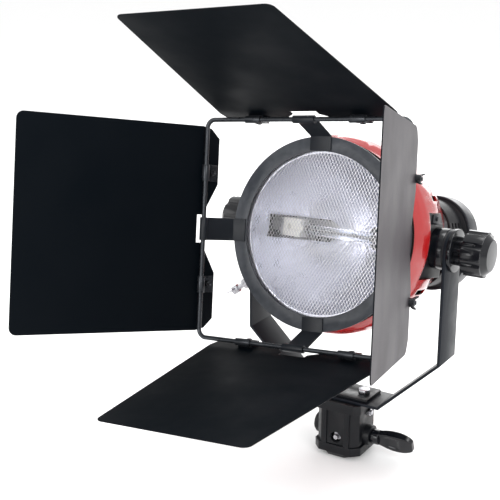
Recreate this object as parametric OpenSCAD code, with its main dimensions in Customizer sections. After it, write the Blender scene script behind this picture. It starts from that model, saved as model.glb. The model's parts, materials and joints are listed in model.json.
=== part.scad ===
// Open-face halogen location light with a four-leaf barndoor, a yoke and a
// stand adapter. Millimetres, +Z up, beam towards -Y. The origin is the mouth
// of the stand socket, on the socket's axis.

/* [Head] */
// Height of the tilt pivot above the stand socket's mouth
pivot_h = 236; // [230:1:250]
// Upward tilt of the beam
head_tilt = 13; // [-20:1:60]
// Largest outer radius of the red shell
shell_r = 98; // [96:0.5:100]
// Radius of the collar that the barndoor ring turns on
collar_r = 88; // [87:0.5:89]
// Thickness of the moulded shell
shell_t = 2.5; // [2:0.5:3]

/* [Barndoor] */
// Roll of the barndoor set about the beam
door_roll = 5; // [-45:1:45]
// Outer radius of the barndoor ring
ring_r = 92.5; // [91:0.5:94]
// Inner radius of the barndoor ring
ring_in_r = 78.5; // [76:0.5:80]
// Distance from the pivot to the ring's front face
ring_depth = 75; // [75:1:76]
// Half of the rod frame's side, to the rod's centre line
frame_half = 105; // [104:1:107]
// Distance from the pivot to the rod frame's plane
frame_depth = 111; // [109:1:114]
// Radius of the frame's rod
rod_r = 2.2; // [2:0.1:2.4]
// Length of a leaf from its rod
leaf_len = 200; // [180:5:200]
// Thickness of a leaf's sheet
leaf_t = 1; // [0.8:0.1:1.2]
// Opening angle of the left leaf
open_left = 19; // [0:1:60]
// Opening angle of the right leaf
open_right = 16; // [0:1:60]
// Opening angle of the top leaf
open_top = 17; // [0:1:60]
// Opening angle of the bottom leaf
open_bottom = 12; // [0:1:40]

/* [Yoke] */
// Half of the width over the yoke's arms
yoke_half = 108.5; // [108:0.5:110]
// Width of the yoke's strap
strap_w = 40; // [36:1:42]
// Thickness of the yoke's strap
strap_t = 3; // [2.5:0.5:3]
// Drop from the pivot to the top of the yoke's base
yoke_drop = 171; // [171:1:180]
// Drop from the pivot to the end of an arm's straight part
arm_drop = 112; // [100:1:115]
// Half length of the yoke's flat base
base_half = 45; // [42:1:50]

/* [Stand adapter] */
// Radius of the stand socket for a 16 mm spigot
socket_r = 8.1; // [8.05:0.05:8.3]
// Depth of the stand socket
socket_len = 48; // [40:1:50]
// Radius of the adapter's body
adapter_r = 25; // [24:0.5:26]

/* [Tilt knobs] */
// Outer radius of a tilt knob
knob_r = 22; // [20:0.5:24]
// Length of a tilt knob's lobed head
knob_len = 26; // [22:1:30]
// Radius of a pivot bolt
bolt_r = 5; // [4:0.5:6]

/* [Lamp] */
// Length of the double-ended lamp
lamp_len = 78; // [74:1:80]
// Radius of the lamp's quartz tube
lamp_r = 5.5; // [5:0.5:6]
// Distance from the pivot to the lamp's axis
lamp_depth = 18; // [14:1:20]

/* [Hidden] */
$fn = 48;
fine_fn = 96;

// Fits
run_gap = 0.1;      // radial clearance of what turns in a hole
face_gap = 0.15;    // clearance between faces that slide on each other
seat_gap = 0.05;    // clearance between parts that are fastened together

// Colours
red = [0.78, 0.10, 0.09];
black = [0.07, 0.07, 0.08];
satin = [0.40, 0.41, 0.45];
dark = [0.17, 0.19, 0.21];
grey = [0.33, 0.34, 0.36];
bright = [0.80, 0.80, 0.82];
white = [0.93, 0.92, 0.90];
brass = [0.72, 0.58, 0.30];

// Shell, from front to rear
shell_front = 56;
recess_x = 90;           // outer face of the side plates
recess_top = 33;
recess_bottom = -30;
recess_front = 38;
recess_rear = -22;
recess_slope = 18;       // how far the recess's rear edge leans forward at its top
vent_w = 5;
vent_len = 32;

// Guard and reflector
guard_r = 85.5;
guard_depth = 70;
guard_pitch = 15;
reflector_front = 68.3;
reflector_t = 1.2;
slot_half = 11.5;
slot_in = 16;
slot_out = 69;

// Pivot stack along X
hub_r = 20;
arm_in = yoke_half - strap_t;
friction_t = 1.6;
hub_end = arm_in - face_gap - friction_t;
washer_t = 4;
washer_end = yoke_half + face_gap + washer_t;
neck_r = 14;
neck_len = 8;
knob_start = washer_end + face_gap;
knob_head_start = knob_start + neck_len;
bolt_end = knob_head_start + 14;

// Rear
cowl_front = -32;
cowl_w = 91.5;           // half width of the rear cowl's front part
cowl_h = 45.5;
cowl_round = 34;
rim_w = 100;             // half width over the rim
rim_h = 49;
rim_t = 3;
rim_front = -66;
rim_rear = -90;
back_depth = -94;
chassis_depth = -46;
guide_x = 30;
guide_r = 3;
screw_r = 4;
focus_w = -22;           // height of the focus screw below the beam axis
gland_x = 48;
gland_w = -16;
POSTS = [[66, 27], [-66, 27], [-66, -27], [66, -27]];

// Yoke and adapter
base_top = pivot_h - yoke_drop;
base_bottom = base_top - strap_t;
base_bolt_x = 20;
lever_z = 22;
boss_r = 11;
flange_h = 12;

// Leaves: 0 right, 1 top, 2 left, 3 bottom
OPENING = [open_right, open_top, open_left, open_bottom];
SHEET_OFFSET = [3.6, 5.4, 3.6, 5.4];
HINGE_HALF = [99, 91, 99, 91];
FREE_HALF = [96, 72, 96, 72];
EAR_IN = [43, 33, 43, 33];
ear_len = 18;
notch_half = 13.5;
slot_r = 5.5;
corner_r = 7;
clip_pos = 54;
clip_w = 16;
clip_t = 1.2;
clip_hole = -10;
clip_end = -16;
clip_in = rod_r + run_gap;
clip_out = clip_in + clip_t;
screw_shank = 2;
hinge_strap_w = 22;
hinge_strap_t = 1.5;
bend_r = 8;

// ---------------------------------------------------------------- frames

// Head frame: x across, y up, z forward along the beam from the pivot
module head_frame() translate([0, 0, pivot_h]) rotate([90 - head_tilt, 0, 0]) children();

// Barndoor frame: the head frame rolled about the beam
module door_frame() head_frame() rotate([0, 0, door_roll]) children();

// Frame of one side of the barndoor, 0 right, 1 top, 2 left, 3 bottom
module side_frame(side) door_frame() rotate([0, 0, 90 * side]) children();

// Leaf frame: origin on the rod, y along the rod, z along the leaf, x outwards
module leaf_frame(side) side_frame(side) translate([frame_half, 0, frame_depth])
    rotate([0, OPENING[side], 0]) children();

// A shape along +X at the pivot, for the right (1) or the left (-1)
module on_side(s) translate([0, 0, pivot_h]) rotate([0, 0, s > 0 ? 0 : 180])
    rotate([0, 90, 0]) children();

// A tube along Z
module tube(outer, inner, h, fn = $fn) difference() {
    cylinder(r = outer, h = h, $fn = fn);
    translate([0, 0, -1]) cylinder(r = inner, h = h + 2, $fn = fn);
}

// A flat outline in the y-z plane, given thickness along x
module upright(t) rotate([90, 0, 90]) linear_extrude(t) children();

// Points along an arc
function arc_points(c, r, a0, a1, n = 6) =
    [for (i = [0:n]) c + r * [cos(a0 + (a1 - a0) * i / n), sin(a0 + (a1 - a0) * i / n)]];

// Points of one half of an outline, mirrored in y = 0 of the list
function mirrored(points) = concat(points,
    [for (i = [len(points) - 1:-1:0]) [-points[i][0], points[i][1]]]);

// ---------------------------------------------------------------- yoke and adapter

module yoke() color(grey) difference() {
    translate([0, 0, pivot_h]) {
        rotate([90, 0, 0]) translate([0, 0, -strap_w / 2]) linear_extrude(strap_w) polygon([
            [-yoke_half, -hub_r], [-yoke_half, -arm_drop - 1], [-base_half, -yoke_drop - strap_t],
            [base_half, -yoke_drop - strap_t], [yoke_half, -arm_drop - 1], [yoke_half, -hub_r],
            [arm_in, -hub_r], [arm_in, -arm_drop], [base_half - 1, -yoke_drop],
            [1 - base_half, -yoke_drop], [-arm_in, -arm_drop], [-arm_in, -hub_r]]);
        for (s = [-1, 1]) translate([s > 0 ? arm_in : -yoke_half, 0, 0]) {
            rotate([0, 90, 0]) cylinder(r = strap_w / 2, h = strap_t);
            translate([0, -strap_w / 2, -hub_r - 1]) cube([strap_t, strap_w, hub_r + 1]);
        }
    }
    translate([-yoke_half - 1, 0, pivot_h]) rotate([0, 90, 0])
        cylinder(r = bolt_r + run_gap, h = 2 * yoke_half + 2);
    for (s = [-1, 1]) translate([s * base_bolt_x, 0, base_bottom - 1]) cylinder(r = 4.1, h = strap_t + 2);
}

module base_plate() color(dark) difference() {
    translate([-31, -17, base_top + seat_gap]) cube([62, 34, 3]);
    for (s = [-1, 1]) translate([s * base_bolt_x, 0, base_top - 1]) cylinder(r = 4.1, h = 6);
}

module base_bolts() color(bright) for (s = [-1, 1]) translate([s * base_bolt_x, 0, 0]) {
    translate([0, 0, base_bottom - 9]) cylinder(r = 4, h = 9 + strap_t + 3.2);
    translate([0, 0, base_top + 3.1]) cylinder(r = 6.5, h = 4.5, $fn = 6);
}

// A square outline with its corners cut off, from its half width and the cut
module cut_square(h, c) polygon([[h, c - h], [h, h - c], [h - c, h], [c - h, h], [-h, h - c], [-h, c - h],
    [c - h, -h], [h - c, -h]]);

module stand_adapter() color(dark) difference() {
    union() {
        translate([0, 0, 9]) linear_extrude(base_bottom - 14) cut_square(adapter_r - 1, 7);
        translate([0, 0, 5]) linear_extrude(flange_h - 3) cut_square(adapter_r + 1.5, 8);
        rotate([0, 0, 22.5]) cylinder(r1 = adapter_r - 1, r2 = adapter_r + 2.4, h = 5.6, $fn = 8);
        translate([0, 0, base_bottom - 10]) linear_extrude(10 - seat_gap) cut_square(adapter_r + 1.5, 6);
        for (s = [-1, 1]) translate([s * 13 - 3, -adapter_r - 1.1, flange_h]) cube([6, 4, base_bottom - flange_h - 2]);
        translate([adapter_r - 6, 0, lever_z]) rotate([0, 90, 0]) cylinder(r = boss_r, h = 12);
        translate([6 - adapter_r, 0, lever_z + 2]) rotate([0, -90, 0]) cylinder(r = boss_r + 0.7, h = 12);
    }
    translate([0, 0, -1]) cylinder(r = socket_r, h = socket_len + 1, $fn = fine_fn);
    translate([0, 0, lever_z]) rotate([0, 90, 0]) cylinder(r = 4 + run_gap, h = adapter_r + 10);
    for (s = [-1, 1]) translate([s * base_bolt_x, 0, base_bottom - 9.2]) cylinder(r = 4.05, h = 20);
    translate([0, -adapter_r - 4, lever_z]) rotate([-90, 0, 0]) cylinder(r = 6, h = 12);
    translate([adapter_r - 5, 0, base_bottom - 14]) rotate([0, 90, 0]) cylinder(r = 2.55, h = 20);
}

module boss_cap() color(black) translate([-adapter_r - 6.05, 0, lever_z + 2]) rotate([0, -90, 0]) {
    cylinder(r = boss_r - 1, h = 2);
    translate([0, 0, 2]) cylinder(r1 = boss_r - 1, r2 = boss_r - 4, h = 1.5);
}

module adapter_screw() color(bright) translate([adapter_r - 4, 0, base_bottom - 14]) rotate([0, 90, 0]) {
    cylinder(r = 2.5, h = 9);
    translate([0, 0, 3.2]) cylinder(r = 4, h = 4, $fn = 6);
}

module index_pin() color(bright) translate([0, 0, lever_z]) rotate([90, 0, 0])
    translate([0, 0, adapter_r - 7.9]) {
        cylinder(r = 4.5, h = 1.5);
        cylinder(r = 2.4, h = 7);
    }

module lock_screw() color(bright) translate([0, 0, lever_z]) rotate([0, 90, 0])
    translate([0, 0, socket_r + 0.4]) cylinder(r = 4, h = 31);

module lock_lever() color(black) translate([0, 0, lever_z]) rotate([20, 0, 0]) difference() {
    union() {
        translate([adapter_r + 6.2, 0, 0]) rotate([0, 90, 0]) cylinder(r = 8, h = 9);
        hull() {
            translate([adapter_r + 10, -4, -6]) cube([6, 8, 12]);
            translate([adapter_r + 26, -4.5, -10]) cube([12, 9, 20]);
            translate([adapter_r + 46, -3.5, -7]) cube([6, 7, 14]);
        }
    }
    translate([socket_r, 0, 0]) rotate([0, 90, 0]) cylinder(r = 4.05, h = 32);
}

// ---------------------------------------------------------------- head

// Outer profile of the shell as [radius, depth], from its mouth to the middle of its back
SHELL = [[collar_r + 2.6, shell_front], [shell_r - 3.5, 48], [shell_r - 1, 40], [shell_r, 30], [shell_r, 18],
    [shell_r - 1, 8], [shell_r - 3, -1], [shell_r - 5.5, -10], [shell_r - 8, -20], [shell_r - 10.7, -30],
    [shell_r - 13.7, -40], [shell_r - 17.2, -50], [shell_r - 22, -60], [shell_r - 29, -68], [shell_r - 37, -74],
    [shell_r - 48, -78], [shell_r - 60, -80], [0, -80]];

// A profile moved inwards by t, square to its run
function inward(points, t) = [for (i = [0:len(points) - 1])
    let (run = points[min(i + 1, len(points) - 1)] - points[max(i - 1, 0)])
    points[i] + t * [run[1], -run[0]] / norm(run)];

function reversed(points) = [for (i = [len(points) - 1:-1:0]) points[i]];

module recess_outline(grow) polygon([
    [recess_front + grow, recess_bottom - grow], [recess_front - 6 + grow, recess_top + grow],
    [recess_rear + recess_slope - grow, recess_top + grow], [recess_rear - grow, 12],
    [recess_rear - grow, recess_bottom - grow]]);

// The recess as a prism along x, on the right (1) or the left (-1)
module recess(s, from, to, grow) translate([s > 0 ? from : -to, 0, 0])
    rotate([0, 90, 0]) linear_extrude(to - from) mirror([1, 0]) recess_outline(grow);

module shell() color(red) head_frame() difference() {
    rotate_extrude($fn = fine_fn) polygon(concat(SHELL, reversed(inward(SHELL, shell_t))));
    translate([0, 0, back_depth - 10]) linear_extrude(cowl_front - back_depth + 10.1)
        oblong(cowl_w + seat_gap, cowl_h + seat_gap, cowl_round);
    translate([0, 0, back_depth - 10]) linear_extrude(rim_front - back_depth + 10.15)
        oblong(rim_w + 0.15, rim_h + 0.15, cowl_round + 5);
    for (s = [-1, 1]) {
        recess(s, recess_x - 12, shell_r + 4, 0.05);
        translate([s > 0 ? recess_x - 20 : -shell_r - 4, 44, -18.5]) cube([24 + shell_r - recess_x, vent_w, vent_len]);
        translate([s > 0 ? recess_x - 20 : -shell_r - 4, -46, -4]) cube([24 + shell_r - recess_x, vent_w, vent_len]);
    }
    for (a = [60, 80, 100, 120, 240, 260, 280, 300]) rotate([0, 0, a])
        translate([shell_r - 12, -vent_w, -17.5]) cube([20, 2 * vent_w, 3]);
}

module front_collar() color(black) head_frame() {
    translate([0, 0, 50]) tube(collar_r, collar_r - 2, 23.2, fine_fn);
    translate([0, 0, guard_depth - 1.6]) tube(collar_r - 1.9, guard_r - 3, 1.5, fine_fn);
    translate([0, 0, 50]) tube(collar_r - 0.5, collar_r - 4, 2, fine_fn);
}

module guard_mesh() color(bright) head_frame() translate([0, 0, guard_depth]) linear_extrude(0.8)
    difference() {
        circle(r = guard_r, $fn = fine_fn);
        for (i = [-5:5], j = [-5:5])
            if (norm([i, j]) * guard_pitch < guard_r - 12)
                translate([i, j] * guard_pitch) square(guard_pitch - 1.6, center = true);
    }

module guard_retainer() color(bright) head_frame() translate([0, 0, guard_depth + 0.85])
    tube(guard_r + 0.3, guard_r - 3, 2, fine_fn);

// Inner face of the dish as [radius, depth]
DISH = [[77, reflector_front], [73, 57], [66, 43], [56, 28], [44, 14], [30, 2], [15, -7], [4, -10]];

module reflector() color(bright) head_frame() difference() {
    rotate_extrude($fn = fine_fn) polygon(concat(
        [[collar_r - 2.5, reflector_front]], DISH,
        [for (i = [len(DISH) - 1:-1:1]) DISH[i] + [0.6, -1] * reflector_t],
        [[77 + reflector_t, reflector_front - reflector_t], [collar_r - 2.5, reflector_front - reflector_t]]));
    for (s = [-1, 1]) scale([s, 1, 1]) translate([0, 0, -20]) linear_extrude(80) {
        translate([slot_in + slot_half, -slot_half]) square([slot_out - slot_in - slot_half, 2 * slot_half]);
        translate([slot_in + slot_half, 0]) circle(r = slot_half);
    }
}

module side_plate(s) color(black) head_frame() difference() {
    union() {
        recess(s, recess_x - 2, recess_x, 0);
        difference() {
            recess(s, recess_x - 10, recess_x - 2, 0);
            recess(s, recess_x - 11, recess_x - 1.9, -2.5);
        }
    }
    rotate([0, 90, 0]) translate([0, 0, -shell_r]) cylinder(r = bolt_r + seat_gap, h = 2 * shell_r);
}
module side_plate_left() side_plate(-1);
module side_plate_right() side_plate(1);

module pivot_hubs() color(black) for (s = [-1, 1]) on_side(s) translate([0, 0, recess_x + seat_gap])
    tube(hub_r, bolt_r + seat_gap, hub_end - recess_x - seat_gap);

module pivot_bolts() color(bright) for (s = [-1, 1]) on_side(s) {
    translate([0, 0, recess_x - 9]) cylinder(r = bolt_r, h = bolt_end - recess_x + 9);
    translate([0, 0, recess_x - 8]) cylinder(r = 8.5, h = 5.9, $fn = 6);
}

module friction_washers() color(black) for (s = [-1, 1]) on_side(s) translate([0, 0, hub_end + 0.02])
    tube(hub_r - 1, bolt_r + seat_gap, friction_t);

module outer_washers() color(black) for (s = [-1, 1]) on_side(s)
    translate([0, 0, yoke_half + face_gap]) tube(hub_r + 1, bolt_r + seat_gap, washer_t);

module tilt_knob(s) color(black) on_side(s) difference() {
    union() {
        translate([0, 0, knob_start]) cylinder(r = neck_r - 1.5, h = neck_len + 1);
        translate([0, 0, knob_start]) for (a = [0:36:324]) rotate([0, 0, a])
            translate([neck_r - 2, 0, 0]) cylinder(r = 2.4, h = neck_len + 0.5, $fn = 16);
        translate([0, 0, knob_head_start]) cylinder(r1 = neck_r, r2 = knob_r - 3, h = 3);
        translate([0, 0, knob_head_start + 2]) linear_extrude(knob_len - 7) lobes(knob_r);
        translate([0, 0, knob_head_start + knob_len - 5]) cylinder(r1 = knob_r - 2, r2 = knob_r - 7, h = 5);
    }
    translate([0, 0, knob_start - 1]) cylinder(r = bolt_r + seat_gap, h = bolt_end - knob_start + 1.5);
}
module tilt_knob_left() tilt_knob(-1);
module tilt_knob_right() tilt_knob(1);

// Outline of a knob with eight broad lobes
module lobes(r) {
    difference() {
        circle(r = r);
        for (a = [0:45:315]) rotate(a + 12) translate([r + 3, 0]) circle(r = 5, $fn = 32);
    }
}

// An oblong outline with round corners, from its half width and half height
module oblong(w, h, r) offset(r = r) square([2 * (w - r), 2 * (h - r)], center = true);

module rear_cowl() color(black) head_frame() difference() {
    union() {
        translate([0, 0, rim_front - 3]) linear_extrude(cowl_front - rim_front + 3)
            oblong(cowl_w, cowl_h, cowl_round);
        translate([0, 0, back_depth + 2]) linear_extrude(rim_front - back_depth - 2)
            oblong(rim_w - rim_t - seat_gap, rim_h - rim_t - seat_gap, cowl_round + 2);
        translate([0, 0, back_depth]) linear_extrude(2.1)
            oblong(rim_w - rim_t - 3, rim_h - rim_t - 3, cowl_round);
    }
    translate([0, 0, rim_front - 4]) linear_extrude(cowl_front - rim_front + 5)
        oblong(cowl_w - 2.5, cowl_h - 2.5, cowl_round - 2.5);
    translate([0, 0, back_depth + 3]) linear_extrude(rim_front - back_depth - 6)
        oblong(rim_w - rim_t - 2.5, rim_h - rim_t - 2.5, cowl_round);
    for (x = [-78:12:78]) translate([x - 2, 14, back_depth - 1]) cube([4, 20, 6]);
    for (s = [-1, 1], d = [-60:9:-42]) translate([s > 0 ? cowl_w - 6 : -cowl_w - 4, -24, d]) cube([10, 48, 4]);
    translate([0, focus_w, back_depth - 1]) cylinder(r = screw_r + run_gap, h = 6);
    translate([gland_x, gland_w, back_depth - 1]) cylinder(r = 8.05, h = 6);
    for (p = POSTS) translate([p[0], p[1], back_depth - 1]) cylinder(r = 2.1, h = 6);
}

module rear_rim() color(grey) head_frame() translate([0, 0, rim_rear]) linear_extrude(rim_front - rim_rear)
    difference() {
        oblong(rim_w, rim_h, cowl_round + 5);
        oblong(rim_w - rim_t, rim_h - rim_t, cowl_round + 2);
    }

module chassis() color(bright) head_frame() difference() {
    union() {
        translate([0, 0, chassis_depth]) linear_extrude(1.5) oblong(cowl_w - 2.6, cowl_h - 2.6, cowl_round - 2.6);
        for (p = POSTS) translate([p[0], p[1], back_depth + 3.05]) cylinder(r = 4, h = chassis_depth - back_depth - 3);
    }
    for (s = [-1, 1], x = [44, 56]) translate([s > 0 ? x : -x - 6, -20, chassis_depth - 1]) cube([6, 40, 4]);
    translate([0, focus_w, chassis_depth - 1]) cylinder(r = screw_r + run_gap, h = 4);
    for (s = [-1, 1]) translate([s * guide_x, 0, chassis_depth - 1]) cylinder(r = guide_r + seat_gap, h = 4);
    for (p = POSTS) translate([p[0], p[1], back_depth]) cylinder(r = 2.05, h = 12);
}

module guide_rods() color(bright) head_frame() for (s = [-1, 1])
    translate([s * guide_x, 0, chassis_depth - 4]) cylinder(r = guide_r, h = 44);

module terminal_block() color(white) head_frame() difference() {
    translate([-24, 20, chassis_depth + 1.55]) cube([48, 16, 10]);
    for (i = [-1:1]) translate([i * 14, 28, chassis_depth + 6]) cylinder(r = 3.5, h = 10);
}

module cable_gland() color(black) head_frame() translate([gland_x, gland_w, 0]) difference() {
    union() {
        translate([0, 0, back_depth - 4]) cylinder(r = 11, h = 3.95, $fn = 6);
        translate([0, 0, back_depth - 12]) cylinder(r = 9, h = 8.5);
        translate([0, 0, back_depth - 1]) cylinder(r = 8, h = 6);
        translate([0, 0, back_depth + 3.1]) cylinder(r = 11, h = 4, $fn = 6);
    }
    translate([0, 0, back_depth - 13]) cylinder(r = 4, h = 24);
}

module recess_brackets() color(grey) head_frame() for (s = [-1, 1]) scale([s, 1, 1]) {
    translate([recess_x + seat_gap, 22.5, 2]) cube([1.5, 9, 16]);
    translate([recess_x + seat_gap, 22.5, 2]) cube([5, 1.5, 16]);
    translate([recess_x + 1.5, 28, 10]) rotate([0, 90, 0]) cylinder(r = 2.5, h = 1.8);
}

module cowl_screws() color(bright) head_frame() for (p = POSTS) translate([p[0], p[1], back_depth]) {
    translate([0, 0, -2.05]) cylinder(r = 3.6, h = 2);
    translate([0, 0, -1]) cylinder(r = 2, h = 11);
}

// ---------------------------------------------------------------- lamp and focus

module lamp_carriage() color(bright) head_frame() difference() {
    union() {
        translate([-66, -9, -24]) cube([132, 18, 2]);
        for (s = [-1, 1]) translate([s > 0 ? 64 : -66, -9, -24]) cube([2, 18, lamp_depth + 34]);
        translate([-8, focus_w - 8, -24]) cube([16, 26.5, 2]);
    }
    for (s = [-1, 1]) translate([s * guide_x, 0, -30]) cylinder(r = guide_r + run_gap, h = 12);
    translate([0, focus_w, -30]) cylinder(r = screw_r + 1, h = 12);
}

module lamp_socket(s) color(white) head_frame() scale([s, 1, 1]) difference() {
    translate([44, -9, lamp_depth - 9]) cube([19.9, 18, 18]);
    translate([30, 0, lamp_depth]) rotate([0, 90, 0]) cylinder(r = 3.6, h = 20);
    translate([43, -3, lamp_depth + 4]) cube([16, 6, 6]);
}
module socket_left() lamp_socket(-1);
module socket_right() lamp_socket(1);

module lamp_tube() color([0.85, 0.88, 0.9, 0.5]) head_frame() translate([-lamp_len / 2, 0, lamp_depth])
    rotate([0, 90, 0]) difference() {
        cylinder(r = lamp_r, h = lamp_len);
        translate([0, 0, 6]) cylinder(r = lamp_r - 1, h = lamp_len - 12);
    }

module lamp_filament() color(bright) head_frame() translate([0, 0, lamp_depth]) {
    translate([-(lamp_len / 2 - 6.05), 0, 0]) rotate([0, 90, 0]) cylinder(r = 1.2, h = lamp_len - 12.1);
    for (s = [-1, 1]) scale([s, 1, 1]) translate([lamp_len / 2 + seat_gap, 0, 0])
        rotate([0, 90, 0]) cylinder(r = 3.5, h = 10.5);
}

module lead_nut() color(brass) head_frame() translate([0, focus_w, -30.1]) difference() {
    cylinder(r = 9, h = 6, $fn = 6);
    translate([0, 0, -1]) cylinder(r = screw_r + run_gap, h = 8);
}

module focus_knob() color(black) head_frame() translate([0, focus_w, back_depth - 20]) difference() {
    union() {
        cylinder(r = 13, h = 14);
        for (a = [0:30:330]) rotate([0, 0, a]) translate([13, 0, 1]) cylinder(r = 1.6, h = 12, $fn = 16);
        translate([0, 0, 13]) cylinder(r = 8, h = 6.5);
    }
    translate([0, 0, 3]) cylinder(r = screw_r + seat_gap, h = 30);
}

module lead_screw() color(bright) head_frame() translate([0, focus_w, back_depth - 17])
    cylinder(r = screw_r, h = 17 - back_depth - 8);

// ---------------------------------------------------------------- barndoor

module door_ring() color(satin) door_frame() difference() {
    union() {
        translate([0, 0, ring_depth - 1.5]) tube(ring_r, ring_in_r, 1.5, fine_fn);
        translate([0, 0, ring_depth - 16]) tube(collar_r + 1.6, collar_r + run_gap, 15, fine_fn);
    }
    rotate([0, 0, latch_angle]) translate([collar_r - 4, 0, ring_depth - 8]) rotate([0, 90, 0])
        cylinder(r = 2.6, h = 10);
}

// Strap from the ring's face to a roll round the rod, in the radius-depth plane
module hinge_strap(side) color(dark) side_frame(side) difference() {
    union() {
        rotate([90, 0, 0]) translate([0, 0, -hinge_strap_w / 2]) linear_extrude(hinge_strap_w) {
            polygon([[ring_in_r + 0.5, ring_depth + 0.05], [ring_r + 0.6, ring_depth + 0.05],
                [frame_half + 1.6, frame_depth - 3], [frame_half, frame_depth - 3],
                [ring_r, ring_depth + 0.05 + hinge_strap_t],
                [ring_in_r + 0.5, ring_depth + 0.05 + hinge_strap_t]]);
            translate([frame_half, frame_depth]) circle(r = rod_r + seat_gap + hinge_strap_t);
        }
    }
    translate([frame_half, hinge_strap_w, frame_depth]) rotate([90, 0, 0])
        cylinder(r = rod_r + seat_gap, h = 2 * hinge_strap_w);
}
module strap_right() hinge_strap(0);
module strap_top() hinge_strap(1);
module strap_left() hinge_strap(2);
module strap_bottom() hinge_strap(3);

module rod_frame() color(satin) door_frame() for (side = [0:3]) rotate([0, 0, 90 * side]) {
    translate([frame_half, bend_r - frame_half, frame_depth]) rotate([-90, 0, 0])
        cylinder(r = rod_r, h = 2 * (frame_half - bend_r));
    translate([frame_half - bend_r, frame_half - bend_r, frame_depth])
        rotate_extrude(angle = 90) translate([bend_r, 0]) circle(r = rod_r, $fn = 24);
}

// Locking screw of the ring, on a radius at the lower left
latch_angle = 213;

module on_latch() door_frame() rotate([0, 0, latch_angle]) translate([0, 0, ring_depth - 8])
    rotate([0, 90, 0]) children();

module latch_collar() color(bright) on_latch() translate([0, 0, collar_r + 1.7]) tube(5, 2.55, 9);

module latch_screw() color(bright) on_latch() {
    translate([0, 0, collar_r + 0.2]) cylinder(r = 2.45, h = 20);
    translate([0, 0, collar_r + 18]) cylinder(r = 4, h = 7);
    for (a = [0, 180]) rotate([0, 0, a]) translate([0, 0.8, collar_r + 19]) rotate([90, 0, 0])
        linear_extrude(1.6) polygon([[0, 0], [9, 2], [11, 8], [7, 9], [3, 5], [0, 5]]);
}

// ---------------------------------------------------------------- leaves

function leaf_half(side) = concat(
    arc_points([FREE_HALF[side] - corner_r, leaf_len - corner_r], corner_r, 90, 0),
    [[HINGE_HALF[side], 2], [HINGE_HALF[side] - 2, -8], [HINGE_HALF[side] - 11, -ear_len],
     [EAR_IN[side], -ear_len], [notch_half, -1], [notch_half, slot_r]]);

module leaf(side) color(dark) leaf_frame(side) translate([SHEET_OFFSET[side], 0, 0]) difference() {
    upright(leaf_t) polygon(mirrored(leaf_half(side)));
    for (s = [-1, 1]) translate([-1, s * clip_pos, clip_hole]) rotate([0, 90, 0])
        cylinder(r = screw_shank + seat_gap, h = leaf_t + 2);
}
module leaf_right() leaf(0);
module leaf_top() leaf(1);
module leaf_left() leaf(2);
module leaf_bottom() leaf(3);

// Clips that roll round the rod, with a spacer under the outer pair of leaves
module clips(side) color(satin) leaf_frame(side) for (s = [-1, 1]) translate([0, s * clip_pos, 0])
    difference() {
        union() {
            translate([0, clip_w / 2, 0]) rotate([90, 0, 0]) cylinder(r = clip_out, h = clip_w);
            translate([clip_in, -clip_w / 2, clip_end]) cube([clip_t, clip_w, -clip_end]);
            if (SHEET_OFFSET[side] > clip_out + 1)
                translate([clip_out - 0.1, -clip_w / 2, clip_end])
                    cube([SHEET_OFFSET[side] - clip_out + 0.05, clip_w, -clip_end - 2]);
        }
        translate([0, clip_w, 0]) rotate([90, 0, 0]) cylinder(r = clip_in, h = 2 * clip_w);
        translate([0, 0, clip_hole]) rotate([0, 90, 0]) cylinder(r = screw_shank + seat_gap, h = 20);
    }
module clips_right() clips(0);
module clips_top() clips(1);
module clips_left() clips(2);
module clips_bottom() clips(3);

// A screw from inside and a wing nut outside, at each clip
module fasteners(side) color(black) leaf_frame(side) for (s = [-1, 1])
    translate([0, s * clip_pos, clip_hole]) rotate([0, 90, 0]) {
        translate([0, 0, clip_in - 2.25]) cylinder(r = 3.4, h = 2.2);
        translate([0, 0, clip_in - 1]) cylinder(r = screw_shank, h = SHEET_OFFSET[side] + 7);
        translate([0, 0, SHEET_OFFSET[side] + leaf_t + 0.05]) {
            cylinder(r = 4, h = 4.5);
            for (a = [25, 205]) rotate([0, 0, a]) translate([0, 0.7, 0]) rotate([90, 0, 0])
                linear_extrude(1.4) polygon([[0, 0.5], [5, 1], [13, 6], [12, 9], [8, 8.5], [0, 4]]);
        }
    }
module fasteners_right() fasteners(0);
module fasteners_top() fasteners(1);
module fasteners_left() fasteners(2);
module fasteners_bottom() fasteners(3);

// ---------------------------------------------------------------- nodes

yoke();
base_plate();
base_bolts();
stand_adapter();
boss_cap();
adapter_screw();
index_pin();
lock_screw();
lock_lever();
shell();
front_collar();
guard_mesh();
guard_retainer();
reflector();
side_plate_left();
side_plate_right();
pivot_hubs();
pivot_bolts();
friction_washers();
outer_washers();
rear_cowl();
rear_rim();
chassis();
guide_rods();
terminal_block();
cable_gland();
recess_brackets();
cowl_screws();
tilt_knob_left();
tilt_knob_right();
lamp_carriage();
socket_left();
socket_right();
lamp_tube();
lamp_filament();
lead_nut();
focus_knob();
lead_screw();
door_ring();
strap_right();
strap_top();
strap_left();
strap_bottom();
rod_frame();
latch_collar();
latch_screw();
leaf_right();
leaf_top();
leaf_left();
leaf_bottom();
clips_right();
clips_top();
clips_left();
clips_bottom();
fasteners_right();
fasteners_top();
fasteners_left();
fasteners_bottom();
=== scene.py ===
"""Open-face location light with a barndoor: finishes, fine pieces, studio and camera."""

from __future__ import annotations

import json
import logging
import math
from dataclasses import dataclass, field
from enum import Enum
from typing import Callable

import bpy
from mathutils import Matrix, Vector

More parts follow.
